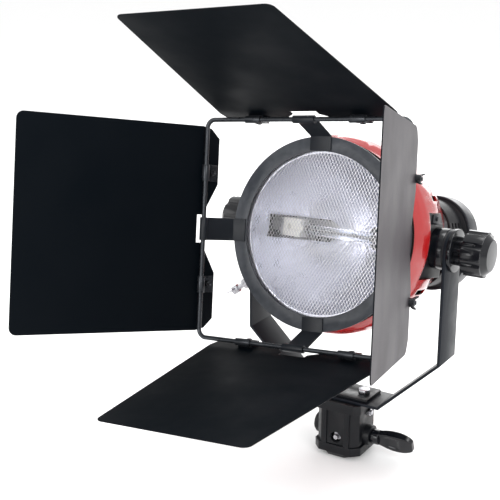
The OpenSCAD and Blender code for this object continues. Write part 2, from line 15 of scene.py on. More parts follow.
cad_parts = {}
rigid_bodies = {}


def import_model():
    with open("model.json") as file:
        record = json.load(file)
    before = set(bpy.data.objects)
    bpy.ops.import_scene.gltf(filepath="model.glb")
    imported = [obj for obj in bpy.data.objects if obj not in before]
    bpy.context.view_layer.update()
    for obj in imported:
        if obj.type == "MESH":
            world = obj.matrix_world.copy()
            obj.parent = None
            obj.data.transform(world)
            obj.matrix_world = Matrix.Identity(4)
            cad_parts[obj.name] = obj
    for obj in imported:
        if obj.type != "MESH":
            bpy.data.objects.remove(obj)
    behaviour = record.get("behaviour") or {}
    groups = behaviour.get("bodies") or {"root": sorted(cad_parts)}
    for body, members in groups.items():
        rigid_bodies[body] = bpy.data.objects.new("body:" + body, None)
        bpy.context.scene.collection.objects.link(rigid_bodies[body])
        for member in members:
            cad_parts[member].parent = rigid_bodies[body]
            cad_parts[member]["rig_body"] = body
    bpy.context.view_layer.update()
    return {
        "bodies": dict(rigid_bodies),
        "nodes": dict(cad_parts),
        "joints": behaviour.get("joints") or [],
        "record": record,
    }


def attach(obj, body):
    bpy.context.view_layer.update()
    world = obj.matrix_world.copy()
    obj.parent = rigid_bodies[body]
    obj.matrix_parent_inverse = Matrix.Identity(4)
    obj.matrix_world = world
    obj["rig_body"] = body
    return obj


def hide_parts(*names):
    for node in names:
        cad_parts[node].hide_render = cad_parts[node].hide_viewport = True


log = logging.getLogger("location_light")

MM = 0.001


# --------------------------------------------------------------------------- finishes


class Grain(Enum):
    """How a surface is textured."""

    SMOOTH = "smooth"
    PEBBLED = "pebbled"
    SANDED = "sanded"
    DRAWN = "drawn"
    DIMPLED = "dimpled"
    TURNED = "turned"


@dataclass(frozen=True)
class Finish:
    """One finish of the light, as its maker would name it."""

    name: str
    colour: tuple[float, float, float]
    worn: tuple[float, float, float]
    roughness: tuple[float, float]
    metallic: float = 0.0
    specular: float = 0.5
    coat: float = 0.0
    grain: Grain = Grain.SMOOTH
    grain_size: float = 0.6
    relief: float = 0.2
    mottle: float = 22.0
    wear: float = 0.35
    transmission: float = 0.0
    stretch: tuple[float, float, float] = (1.0, 1.0, 1.0)

    def build(self) -> bpy.types.Material:
        """Makes the node material of this finish.

        Returns:
            The new material.
        """
        material = bpy.data.materials.new(self.name)
        material.use_nodes = True
        tree = material.node_tree
        shader = tree.nodes["Principled BSDF"]
        shader.inputs["Metallic"].default_value = self.metallic
        shader.inputs["Specular IOR Level"].default_value = self.specular
        shader.inputs["Coat Weight"].default_value = self.coat
        shader.inputs["Coat Roughness"].default_value = 0.06
        shader.inputs["Transmission Weight"].default_value = self.transmission
        place = tree.nodes.new("ShaderNodeTexCoord")
        mapping = tree.nodes.new("ShaderNodeMapping")
        mapping.inputs["Scale"].default_value = self.stretch
        tree.links.new(place.outputs["Object"], mapping.inputs["Vector"])
        self._colour(tree, mapping, shader)
        self._sheen(tree, mapping, shader)
        self._relief(tree, mapping, shader)
        return material

    def _noise(self, tree: bpy.types.NodeTree, mapping: bpy.types.Node, scale: float,
               detail: float) -> bpy.types.Node:
        """Adds a noise texture.

        Args:
            tree: The material's tree.
            mapping: The node that gives the place.
            scale: Noise scale, per metre.
            detail: Octaves.

        Returns:
            The noise node.
        """
        noise = tree.nodes.new("ShaderNodeTexNoise")
        noise.inputs["Scale"].default_value = scale
        noise.inputs["Detail"].default_value = detail
        tree.links.new(mapping.outputs["Vector"], noise.inputs["Vector"])
        return noise

    def _colour(self, tree: bpy.types.NodeTree, mapping: bpy.types.Node, shader: bpy.types.Node) -> None:
        """Mottles the colour towards the worn colour.

        Args:
            tree: The material's tree.
            mapping: The node that gives the place.
            shader: The surface shader.
        """
        noise = self._noise(tree, mapping, self.mottle, 6.0)
        spread = tree.nodes.new("ShaderNodeMapRange")
        spread.inputs["From Min"].default_value = 0.38
        spread.inputs["From Max"].default_value = 0.72
        spread.inputs["To Max"].default_value = self.wear
        tree.links.new(noise.outputs["Fac"], spread.inputs["Value"])
        blend = tree.nodes.new("ShaderNodeMix")
        blend.data_type = "RGBA"
        blend.inputs["A"].default_value = (*self.colour, 1.0)
        blend.inputs["B"].default_value = (*self.worn, 1.0)
        tree.links.new(spread.outputs["Result"], blend.inputs["Factor"])
        tree.links.new(blend.outputs["Result"], shader.inputs["Base Color"])

    def _sheen(self, tree: bpy.types.NodeTree, mapping: bpy.types.Node, shader: bpy.types.Node) -> None:
        """Varies the roughness a little, as handling does.

        Args:
            tree: The material's tree.
            mapping: The node that gives the place.
            shader: The surface shader.
        """
        noise = self._noise(tree, mapping, self.mottle * 3.1, 4.0)
        spread = tree.nodes.new("ShaderNodeMapRange")
        spread.inputs["From Min"].default_value = 0.35
        spread.inputs["From Max"].default_value = 0.65
        spread.inputs["To Min"].default_value = self.roughness[0]
        spread.inputs["To Max"].default_value = self.roughness[1]
        tree.links.new(noise.outputs["Fac"], spread.inputs["Value"])
        tree.links.new(spread.outputs["Result"], shader.inputs["Roughness"])

    def _relief(self, tree: bpy.types.NodeTree, mapping: bpy.types.Node, shader: bpy.types.Node) -> None:
        """Adds the fine relief of the surface.

        Args:
            tree: The material's tree.
            mapping: The node that gives the place.
            shader: The surface shader.
        """
        per_metre = 1.0 / (self.grain_size * MM)
        if self.grain in (Grain.PEBBLED, Grain.DIMPLED):
            cells = tree.nodes.new("ShaderNodeTexVoronoi")
            cells.feature = "SMOOTH_F1"
            cells.inputs["Scale"].default_value = per_metre
            cells.inputs["Smoothness"].default_value = 0.7
            tree.links.new(mapping.outputs["Vector"], cells.inputs["Vector"])
            height = cells.outputs["Distance"]
        else:
            noise = self._noise(tree, mapping, per_metre, 3.0)
            height = noise.outputs["Fac"]
        bump = tree.nodes.new("ShaderNodeBump")
        bump.inputs["Strength"].default_value = self.relief
        bump.inputs["Distance"].default_value = self.grain_size * MM * 0.4
        tree.links.new(height, bump.inputs["Height"])
        tree.links.new(bump.outputs["Normal"], shader.inputs["Normal"])


RED_MOULDING = Finish("red_moulding", (0.31, 0.008, 0.009), (0.26, 0.006, 0.007), (0.16, 0.26), coat=0.6,
                      grain=Grain.PEBBLED, grain_size=1.3, relief=0.04, wear=0.4)
BLACK_MOULDING = Finish("black_moulding", (0.0035, 0.004, 0.006), (0.007, 0.008, 0.010), (0.14, 0.24),
                        specular=0.4, grain=Grain.SANDED, grain_size=0.5, relief=0.05)
COWL_MOULDING = Finish("cowl_moulding", (0.005, 0.005, 0.0065), (0.010, 0.010, 0.012), (0.34, 0.48),
                       specular=0.3, grain=Grain.PEBBLED, grain_size=0.7, relief=0.16)
LEAF_INSIDE = Finish("leaf_inside_paint", (0.0012, 0.0026, 0.0044), (0.0020, 0.0036, 0.0056), (0.44, 0.56),
                     specular=0.07, grain=Grain.SANDED, grain_size=0.35, relief=0.08, mottle=7.0)
# Outside faces of the leaves: a lighter grey that is a painted sheen, standing for the grazing reflection of
# the lights on the same black paint.
LEAF_OUTSIDE_PAINTED_SHEEN = Finish("leaf_outside_paint", (0.024, 0.019, 0.024), (0.030, 0.025, 0.030), (0.46, 0.54),
                      specular=0.22, grain=Grain.SANDED, grain_size=0.35, relief=0.10, mottle=5.0)
STRAP_PAINT = Finish("strap_paint", (0.008, 0.010, 0.014), (0.014, 0.017, 0.021), (0.34, 0.46), specular=0.25,
                     grain=Grain.SANDED, grain_size=0.35, relief=0.10)
YOKE_PAINT = Finish("yoke_paint", (0.007, 0.009, 0.013), (0.013, 0.016, 0.021), (0.32, 0.44), specular=0.14,
                    grain=Grain.SANDED, grain_size=0.4, relief=0.10, wear=0.25)
RING_PAINT = Finish("ring_paint", (0.026, 0.030, 0.037), (0.052, 0.056, 0.066), (0.34, 0.46), specular=0.35,
                    grain=Grain.SANDED, grain_size=0.45, relief=0.16, mottle=160.0, wear=0.6)
ROD_PLATING = Finish("rod_plating", (0.022, 0.025, 0.030), (0.06, 0.064, 0.072), (0.24, 0.36), metallic=0.5,
                     grain=Grain.SANDED, grain_size=0.4, relief=0.06, mottle=60.0)
CAST_PAINT = Finish("cast_paint", (0.0035, 0.0040, 0.0055), (0.009, 0.010, 0.012), (0.30, 0.44),
                    specular=0.22, grain=Grain.PEBBLED, grain_size=0.9, relief=0.22, mottle=60.0)
PLATE_PAINT = Finish("plate_paint", (0.006, 0.006, 0.008), (0.016, 0.016, 0.018), (0.36, 0.5),
                     grain=Grain.SANDED, grain_size=0.4, relief=0.12)
RIM_PAINT = Finish("rim_paint", (0.012, 0.013, 0.017), (0.020, 0.022, 0.026), (0.30, 0.42), specular=0.3,
                   grain=Grain.SANDED, grain_size=0.4, relief=0.08)
ZINC = Finish("zinc_plate", (0.50, 0.50, 0.53), (0.36, 0.36, 0.37), (0.22, 0.38), metallic=1.0,
              grain=Grain.TURNED, grain_size=0.5, relief=0.08, mottle=60.0)
BLACK_OXIDE = Finish("black_oxide", (0.022, 0.024, 0.028), (0.07, 0.072, 0.078), (0.24, 0.38), metallic=0.7,
                     grain=Grain.TURNED, grain_size=0.4, relief=0.08, mottle=120.0)
GUARD_STEEL = Finish("guard_steel", (0.62, 0.61, 0.63), (0.48, 0.47, 0.49), (0.26, 0.40), metallic=0.9,
                     grain=Grain.SANDED, grain_size=0.3, relief=0.08, mottle=30.0)
BRIGHT_SHEET = Finish("bright_sheet", (0.74, 0.75, 0.83), (0.66, 0.67, 0.76), (0.27, 0.36), metallic=1.0,
                      grain=Grain.DIMPLED, grain_size=3.2, relief=0.12, mottle=6.0)
BARE_SHEET = Finish("bare_sheet", (0.62, 0.63, 0.65), (0.48, 0.48, 0.50), (0.3, 0.45), metallic=1.0,
                    grain=Grain.DRAWN, grain_size=0.6, relief=0.08, stretch=(1.0, 12.0, 12.0))
# Inside of the red shell: a dark brown painted shade for the enclosed hollow behind the reflector.
SHELL_INSIDE_PAINTED_SHADE = Finish("shell_lining", (0.030, 0.022, 0.018), (0.014, 0.011, 0.010), (0.5, 0.7),
                      grain=Grain.SANDED, grain_size=0.8, relief=0.2)
BRASS = Finish("turned_brass", (0.60, 0.42, 0.17), (0.42, 0.30, 0.13), (0.25, 0.4), metallic=1.0,
               grain=Grain.TURNED, grain_size=0.5, relief=0.08)
STEATITE = Finish("steatite", (0.86, 0.85, 0.80), (0.72, 0.69, 0.62), (0.45, 0.6),
                  grain=Grain.SANDED, grain_size=0.5, relief=0.15, mottle=70.0)
QUARTZ = Finish("quartz", (0.95, 0.97, 1.0), (0.9, 0.92, 0.96), (0.02, 0.05), transmission=1.0,
                grain=Grain.SMOOTH, relief=0.02)
TUNGSTEN = Finish("tungsten", (0.30, 0.29, 0.28), (0.2, 0.19, 0.18), (0.3, 0.45), metallic=1.0)

SLOT_FINISH: dict[str, Finish] = {
    "yoke_paint": YOKE_PAINT, "adapter_cast": CAST_PAINT, "zinc_hardware": ZINC,
    "black_plastic": BLACK_MOULDING,
    "red_shell": RED_MOULDING, "cowl_black": COWL_MOULDING, "rim_grey": RIM_PAINT, "plate_black": PLATE_PAINT,
    "guard_wire": GUARD_STEEL, "reflector_bright": BRIGHT_SHEET, "bare_aluminium": BARE_SHEET, "brass": BRASS,
    "ceramic": STEATITE, "quartz": QUARTZ, "tungsten": TUNGSTEN, "ring_grey": RING_PAINT,
    "rod_steel": ROD_PLATING, "strap_black": STRAP_PAINT, "leaf_black": LEAF_INSIDE,
    "black_hardware": BLACK_OXIDE,
}


@dataclass
class Workshop:
    """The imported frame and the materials, shared by every sub-assembly."""

    frame: dict
    materials: dict[str, bpy.types.Material] = field(default_factory=dict)
    slots: dict[str, str] = field(default_factory=dict)

    def __post_init__(self) -> None:
        """Builds the materials and reads which slot each node has."""
        self.slots = {s["node"]: s["material_slot"] for s in self.frame["record"]["subparts"]}
        self.materials = {slot: finish.build() for slot, finish in SLOT_FINISH.items()}

    def body_of(self, node: str) -> str:
        """Names the body that a node rides on."""
        return self.frame["nodes"][node]["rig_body"]

    def dress(self, piece: bpy.types.Object, slot: str) -> bpy.types.Object:
        """Gives a piece the finish of a slot.

        Args:
            piece: The piece to dress.
            slot: The record's material slot.

        Returns:
            The piece.
        """
        piece.data.materials.clear()
        piece.data.materials.append(self.materials[slot])
        return piece

    def dress_nodes(self) -> None:
        """Gives every CAD node the finish of its slot."""
        for name, node in self.frame["nodes"].items():
            for index in range(max(1, len(node.material_slots))):
                if not node.material_slots:
                    node.data.materials.append(self.materials[self.slots[name]])
                else:
                    node.material_slots[index].material = self.materials[self.slots[name]]

    def stand_in(self, piece: bpy.types.Object, *nodes: str) -> bpy.types.Object:
        """Puts a finished piece in the place of its nodes.

        Args:
            piece: The finished piece.
            nodes: The nodes that it stands for, all on one body.

        Returns:
            The piece.
        """
        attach(piece, self.body_of(nodes[0]))
        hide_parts(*nodes)
        self.dress(piece, self.slots[nodes[0]])
        log.info("%s stands for %s", piece.name, ", ".join(nodes))
        return piece


# --------------------------------------------------------------------------- bench work


def clear_selection() -> None:
    """Leaves nothing selected."""
    if bpy.context.mode != "OBJECT":
        bpy.ops.object.mode_set(mode="OBJECT")
    bpy.ops.object.select_all(action="DESELECT")


def take(piece: bpy.types.Object) -> bpy.types.Object:
    """Selects one piece and makes it active.

    Args:
        piece: The piece.

    Returns:
        The piece.
    """
    clear_selection()
    piece.select_set(True)
    bpy.context.view_layer.objects.active = piece
    return piece


def settle(piece: bpy.types.Object) -> bpy.types.Object:
    """Puts a piece's place into its mesh.

    Args:
        piece: The piece.

    Returns:
        The piece.
    """
    take(piece)
    bpy.ops.object.transform_apply(location=True, rotation=True, scale=True)
    return piece


def pick_faces(piece: bpy.types.Object, wanted: Callable[[Vector, Vector], bool]) -> int:
    """Selects faces by their centre and normal, in edit mode.

    Args:
        piece: The piece, active and in edit mode.
        wanted: Says from a face's centre and normal whether to select it.

    Returns:
        How many faces are selected.
    """
    bpy.ops.object.mode_set(mode="OBJECT")
    for part in (piece.data.vertices, piece.data.edges):
        part.foreach_set("select", [False] * len(part))
    chosen = [wanted(face.center, face.normal) for face in piece.data.polygons]
    piece.data.polygons.foreach_set("select", chosen)
    bpy.ops.object.mode_set(mode="EDIT")
    bpy.ops.mesh.select_mode(type="FACE")
    return sum(chosen)


def copy_of_node(node: bpy.types.Object, name: str) -> bpy.types.Object:
    """Copies a CAD node and merges its loose triangles into clean faces.

    Args:
        node: The CAD node.
        name: The copy's name.

    Returns:
        The copy.
    """
    piece = bpy.data.objects.new(name, node.data.copy())
    bpy.context.scene.collection.objects.link(piece)
    take(piece)
    bpy.ops.object.mode_set(mode="EDIT")
    bpy.ops.mesh.select_all(action="SELECT")
    bpy.ops.mesh.remove_doubles(threshold=2e-6)
    bpy.ops.mesh.dissolve_limited(angle_limit=math.radians(0.4))
    bpy.ops.object.mode_set(mode="OBJECT")
    return piece


def round_edges(piece: bpy.types.Object, width: float, segments: int = 2,
                angle: float = 35.0) -> bpy.types.Object:
    """Rounds a piece's sharp edges and smooths the rest.

    Args:
        piece: The piece.
        width: The rounding's width, in metres.
        segments: Steps across it.
        angle: Edges sharper than this many degrees are rounded.

    Returns:
        The piece.
    """
    take(piece)
    bevel = piece.modifiers.new("edge_rounding", "BEVEL")
    bevel.width = width
    bevel.segments = segments
    bevel.limit_method = "ANGLE"
    bevel.angle_limit = math.radians(angle)
    bevel.miter_outer = "MITER_ARC"
    bpy.ops.object.modifier_apply(modifier=bevel.name)
    bpy.ops.object.shade_smooth_by_angle(angle=math.radians(32))
    return piece


# --------------------------------------------------------------------------- sub-assemblies


class Side(Enum):
    """A side of the barndoor: quarter turn, leaf opening in degrees, sheet's distance from the rod in mm."""

    RIGHT = (0, 16.0, 3.6)
    TOP = (1, 17.0, 5.4)
    LEFT = (2, 19.0, 3.6)
    BOTTOM = (3, 12.0, 5.4)

    @property
    def quarter(self) -> int:
        """Quarter turns from the right side."""
        return self.value[0]

    @property
    def opening(self) -> float:
        """Opening angle in degrees."""
        return self.value[1]

    @property
    def sheet(self) -> float:
        """Distance of the sheet's inner face from the rod's middle, in metres."""
        return self.value[2] * MM

    @property
    def word(self) -> str:
        """The side's name in the node names."""
        return self.name.lower()


@dataclass
class Pose:
    """Where the head and the barndoor sit on the yoke."""

    pivot: Vector = field(default_factory=lambda: Vector((0.0, 0.0, 0.236)))
    tilt: float = 13.0
    roll: float = 5.0
    frame_half: float = 105.0 * MM
    frame_depth: float = 111.0 * MM

    def head(self) -> Matrix:
        """Head frame: x across, y up, z along the beam."""
        return Matrix.Translation(self.pivot) @ Matrix.Rotation(math.radians(90.0 - self.tilt), 4, "X")

    def door(self) -> Matrix:
        """Barndoor frame: the head frame rolled about the beam."""
        return self.head() @ Matrix.Rotation(math.radians(self.roll), 4, "Z")

    def leaf(self, side: "Side") -> Matrix:
        """Leaf frame: origin on the rod, y along it, z along the leaf and x outwards.

        Args:
            side: Which leaf.

        Returns:
            The frame's matrix.
        """
        turn = Matrix.Rotation(math.radians(90.0 * side.quarter), 4, "Z")
        hinge = Matrix.Translation((self.frame_half, 0.0, self.frame_depth))
        return self.door() @ turn @ hinge @ Matrix.Rotation(math.radians(side.opening), 4, "Y")


@dataclass
class Guard:
    """Expanded steel mesh behind its retaining ring."""

    shop: Workshop
    pose: Pose
    radius: float = 85.5 * MM
    depth: float = 70.0 * MM
    cell_width: float = 3.3 * MM
    cell_height: float = 5.6 * MM
    strand: float = 0.17 * MM
    gauge: float = 0.34 * MM

    def build(self) -> bpy.types.Object:
        """Makes the mesh from a turned and stretched grid.

        Returns:
            The guard.
        """
        clear_selection()
        side = self.cell_width / math.sqrt(2.0)
        count = int(2.0 * self.radius * 1.45 / side)
        bpy.ops.mesh.primitive_grid_add(x_subdivisions=count, y_subdivisions=count, size=count * side)
        piece = bpy.context.object
        piece.name = "guard_expanded_mesh"
        bpy.ops.object.mode_set(mode="EDIT")
        bpy.ops.mesh.select_all(action="SELECT")
        bpy.ops.transform.rotate(value=math.radians(45.0), orient_axis="Z", center_override=(0.0, 0.0, 0.0))
        bpy.ops.transform.resize(value=(1.0, self.cell_height / self.cell_width, 1.0),
                                 center_override=(0.0, 0.0, 0.0))
        pick_faces(piece, lambda centre, normal: centre.length > self.radius - 1.2 * MM)
        bpy.ops.mesh.delete(type="FACE")
        bpy.ops.mesh.select_all(action="SELECT")
        bpy.ops.mesh.inset(use_individual=True, thickness=self.strand)
        bpy.ops.mesh.delete(type="FACE")
        bpy.ops.object.mode_set(mode="OBJECT")
        wall = piece.modifiers.new("gauge", "SOLIDIFY")
        wall.thickness = self.gauge
        wall.offset = 0.0
        bpy.ops.object.modifier_apply(modifier=wall.name)
        piece.matrix_world = self.pose.head() @ Matrix.Translation((0.0, 0.0, self.depth + 0.4 * MM))
        settle(piece)
        return self.shop.stand_in(piece, "guard_mesh")


@dataclass
class RoundedParts:
    """Moulded, cast and cut parts that only need their edges rounded."""

    shop: Workshop
    widths: dict[str, float] = field(default_factory=lambda: {
        "yoke": 0.8, "base_plate": 0.5, "stand_adapter": 0.9, "boss_cap": 0.5, "base_bolts": 0.4,
        "rear_rim": 0.8, "rear_cowl": 0.6, "front_collar": 0.3, "door_ring": 0.3, "rod_frame": 0.2,
        "clips_right": 0.25, "clips_top": 0.25, "clips_left": 0.25, "clips_bottom": 0.25, "reflector": 0.3,
        "side_plate_left": 0.6, "side_plate_right": 0.6, "latch_collar": 0.3, "pivot_bolts": 0.4,
        "cable_gland": 0.5, "cowl_screws": 0.3, "recess_brackets": 0.3, "guard_retainer": 0.3,
        "tilt_knob_left": 0.9, "tilt_knob_right": 0.9, "outer_washers": 0.7, "pivot_hubs": 0.5,
        "strap_right": 0.3, "strap_top": 0.3, "strap_left": 0.3, "strap_bottom": 0.3,
        "socket_left": 0.8, "socket_right": 0.8, "focus_knob": 0.6, "terminal_block": 0.6,
    })

    def build(self) -> None:
        """Makes a rounded copy of each part."""
        for node, width in self.widths.items():
            piece = copy_of_node(self.shop.frame["nodes"][node], f"{node}_finished")
            round_edges(piece, width * MM, 3 if width > 0.6 else 2)
            self.shop.stand_in(piece, node)


@dataclass
class Leaves:
    """Four sheet leaves, black inside, with a lighter grey painted sheen on the outside faces standing for
    the grazing reflection of the lights.
    """

    shop: Workshop
    pose: Pose

    def build(self) -> None:
        """Makes the four leaves."""
        # The second material is the lighter grey painted sheen of the outside faces.
        outside = LEAF_OUTSIDE_PAINTED_SHEEN.build()
        for side in Side:
            node = f"leaf_{side.word}"
            piece = copy_of_node(self.shop.frame["nodes"][node], f"{node}_sheet")
            round_edges(piece, 0.22 * MM, 1)
            self.shop.stand_in(piece, node)
            # The outward faces take the lighter grey painted sheen.
            piece.data.materials.append(outside)
            outwards = self.pose.leaf(side).to_3x3() @ Vector((1.0, 0.0, 0.0))
            pick_faces(piece, lambda centre, normal: normal.dot(outwards) > 0.5)
            piece.active_material_index = 1
            bpy.ops.object.material_slot_assign()
            bpy.ops.object.mode_set(mode="OBJECT")


@dataclass
class ClipFasteners:
    """A screw and a wing nut at each leaf clip."""

    shop: Workshop
    pose: Pose
    along: float = 54.0 * MM
    back: float = -10.0 * MM
    hub: float = 4.0 * MM
    sheet_and_gap: float = 1.06 * MM
    head_gap: float = 0.05 * MM
    wing_turn: float = 25.0

    def build(self) -> None:
        """Makes one set and copies it to the eight clips."""
        nut = self._nut()
        screw = self._screw()
        for side in Side:
            placed = []
            for sign in (-1.0, 1.0):
                seat = self.pose.leaf(side) @ Matrix.Translation((0.0, sign * self.along, self.back))
                seat = seat @ Matrix.Rotation(math.radians(90.0), 4, "Y")
                turned = Matrix.Rotation(math.radians(self.wing_turn), 4, "Z")
                nut_place = Matrix.Translation((0.0, 0.0, side.sheet + self.sheet_and_gap))
                placed.append(self._copy(nut, seat @ nut_place @ turned))
                placed.append(self._copy(screw, seat @ Matrix.Translation((0.0, 0.0, self.head_gap))))
            clear_selection()
            for part in placed:
                part.select_set(True)
            bpy.context.view_layer.objects.active = placed[0]
            bpy.ops.object.join()
            piece = bpy.context.object
            piece.name = f"fasteners_{side.word}_turned"
            bpy.ops.object.shade_smooth_by_angle(angle=math.radians(35))
            self.shop.stand_in(piece, f"fasteners_{side.word}")
        for pattern in (nut, screw):
            bpy.data.objects.remove(pattern)

    def _copy(self, pattern: bpy.types.Object, place: Matrix) -> bpy.types.Object:
        """Copies a pattern with its own mesh.

        Args:
            pattern: The piece to copy.
            place: Where the copy goes.

        Returns:
            The copy, settled.
        """
        piece = bpy.data.objects.new(pattern.name, pattern.data.copy())
        bpy.context.scene.collection.objects.link(piece)
        piece.matrix_world = place
        return settle(piece)

    def _nut(self) -> bpy.types.Object:
        """Makes a wing nut: a hub with a raised collar and a bore, and two swept wings.

        Returns:
            The nut, standing on its base at the origin.
        """
        clear_selection()
        bpy.ops.mesh.primitive_cylinder_add(vertices=24, radius=self.hub, depth=4.5 * MM,
                                            location=(0.0, 0.0, 2.25 * MM))
        hub = bpy.context.object
        settle(hub)
        bpy.ops.object.mode_set(mode="EDIT")
        pick_faces(hub, lambda centre, normal: normal.z > 0.9)
        bpy.ops.mesh.inset(thickness=1.0 * MM)
        bpy.ops.transform.translate(value=(0.0, 0.0, 0.7 * MM))
        bpy.ops.mesh.inset(thickness=0.9 * MM)
        bpy.ops.transform.translate(value=(0.0, 0.0, -1.4 * MM))
        bpy.ops.object.mode_set(mode="OBJECT")
        wings = [self._wing(turn) for turn in (0.0, math.pi)]
        clear_selection()
        for part in (hub, *wings):
            part.select_set(True)
        bpy.context.view_layer.objects.active = hub
        bpy.ops.object.join()
        hub.name = "wing_nut_pattern"
        return hub

    def _wing(self, turn: float) -> bpy.types.Object:
        """Makes one wing, swept up and rounded.

        Args:
            turn: Its turn about the nut's axis, in radians.

        Returns:
            The wing.
        """
        clear_selection()
        bpy.ops.mesh.primitive_cube_add(size=1.0)
        wing = bpy.context.object
        wing.scale = (3.0 * MM, 1.6 * MM, 4.0 * MM)
        wing.location = (3.4 * MM, 0.0, 2.4 * MM)
        settle(wing)
        for out, lift, grow in ((3.0, 1.4, 1.05), (2.6, 1.9, 1.1), (1.4, 0.9, 0.62)):
            pick_faces(wing, lambda centre, normal: normal.x > 0.7 and centre.x > 4.0 * MM)
            bpy.ops.mesh.extrude_region_move(TRANSFORM_OT_translate={"value": (out * MM, 0.0, lift * MM)})
            bpy.ops.transform.resize(value=(1.0, 0.9, grow))
        bpy.ops.object.mode_set(mode="OBJECT")
        smooth = wing.modifiers.new("cast_rounding", "SUBSURF")
        smooth.levels = smooth.render_levels = 2
        take(wing)
        bpy.ops.object.modifier_apply(modifier=smooth.name)
        wing.rotation_euler = (0.0, 0.0, turn)
        return settle(wing)

    def _screw(self) -> bpy.types.Object:
        """Makes a screw head with a round recess in its face, on its shank.

        Returns:
            The screw, its head's top at the origin and its shank along z.
        """
        clear_selection()
        bpy.ops.mesh.primitive_cylinder_add(vertices=24, radius=3.3 * MM, depth=2.2 * MM,
                                            location=(0.0, 0.0, 1.1 * MM))
        screw = bpy.context.object
        settle(screw)
        pick_faces(screw, lambda centre, normal: normal.z < -0.9)
        bpy.ops.mesh.inset(thickness=0.8 * MM)
        bpy.ops.mesh.inset(thickness=1.0 * MM)
        bpy.ops.transform.translate(value=(0.0, 0.0, 0.9 * MM))
        pick_faces(screw, lambda centre, normal: normal.z > 0.9)
        bpy.ops.mesh.inset(thickness=1.4 * MM)
        bpy.ops.mesh.extrude_region_move(TRANSFORM_OT_translate={"value": (0.0, 0.0, 9.0 * MM)})
        bpy.ops.object.mode_set(mode="OBJECT")
        round_edges(screw, 0.35 * MM, 2)
        screw.name = "clip_screw_pattern"
        return screw


@dataclass
class LockLever:
    """Paddle lever of the stand lock, with a thumb dimple on each face."""

    shop: Workshop
    height: float = 22.0 * MM
    tip: float = 77.0 * MM
    root: float = 34.0 * MM
    lean: float = 20.0
    # Each waist: where it starts and ends as a share of the paddle, its width and thickness factors.
    waists: tuple[tuple[float, float, float, float], ...] = (
        (0.0, 0.10, 0.62, 0.86), (0.10, 0.24, 0.72, 0.80), (0.24, 0.40, 0.94, 0.92),
        (0.74, 0.90, 0.92, 0.86), (0.90, 1.01, 0.62, 0.62))

    def build(self) -> bpy.types.Object:
        """Makes the paddle and its round boss.

        Returns:
            The lever.
        """
        clear_selection()
        bpy.ops.mesh.primitive_cube_add(size=1.0, location=((self.tip + self.root) / 2, 0.0, 0.0))
        paddle = bpy.context.object
        paddle.scale = (self.tip - self.root, 9.4 * MM, 21.0 * MM)
        settle(paddle)
        bpy.ops.object.mode_set(mode="EDIT")
        bpy.ops.mesh.select_all(action="SELECT")
        bpy.ops.mesh.subdivide(number_cuts=5)
        for low, high, width, thick in self.waists:
            start = self.root + low * (self.tip - self.root)
            end = self.root + high * (self.tip - self.root)
            self._pick_span(paddle, start, end)
            bpy.ops.transform.resize(value=(1.0, thick, width), center_override=(start, 0.0, 0.0))
        for sign in (-1.0, 1.0):
            pick_faces(paddle, lambda centre, normal: normal.y * sign > 0.8 and abs(centre.z) < 6.5 * MM
                       and self.root + 14.0 * MM < centre.x < self.root + 31.0 * MM)
            bpy.ops.mesh.inset(thickness=1.2 * MM)
            bpy.ops.transform.translate(value=(0.0, -sign * 2.0 * MM, 0.0))
        bpy.ops.object.mode_set(mode="OBJECT")
        smooth = paddle.modifiers.new("moulded_rounding", "SUBSURF")
        smooth.levels = smooth.render_levels = 2
        take(paddle)
        bpy.ops.object.modifier_apply(modifier=smooth.name)
        boss = self._boss()
        clear_selection()
        paddle.select_set(True)
        boss.select_set(True)
        bpy.context.view_layer.objects.active = paddle
        bpy.ops.object.join()
        paddle.matrix_world = (Matrix.Translation((0.0, 0.0, self.height))
                               @ Matrix.Rotation(math.radians(self.lean), 4, "X"))
        settle(paddle)
        paddle.name = "lock_lever_paddle"
        bpy.ops.object.shade_smooth_by_angle(angle=math.radians(40))
        return self.shop.stand_in(paddle, "lock_lever")

    def _pick_span(self, piece: bpy.types.Object, start: float, end: float) -> None:
        """Selects the vertices between two places along the lever.

        Args:
            piece: The lever, in edit mode.
            start: Where the span starts, in metres.
            end: Where it ends.
        """
        bpy.ops.object.mode_set(mode="OBJECT")
        for part in (piece.data.polygons, piece.data.edges):
            part.foreach_set("select", [False] * len(part))
        piece.data.vertices.foreach_set("select", [start - 1e-6 <= v.co.x < end for v in piece.data.vertices])
        bpy.ops.object.mode_set(mode="EDIT")
        bpy.ops.mesh.select_mode(type="VERT")

    def _boss(self) -> bpy.types.Object:
        """Makes the round boss round the lock screw.

        Returns:
            The boss.
        """
        clear_selection()
        bpy.ops.mesh.primitive_cylinder_add(vertices=40, radius=7.9 * MM, depth=8.6 * MM,
                                            location=(35.6 * MM, 0.0, 0.0),
                                            rotation=(0.0, math.radians(90.0), 0.0))
        boss = settle(bpy.context.object)
        return round_edges(boss, 0.9 * MM, 3)


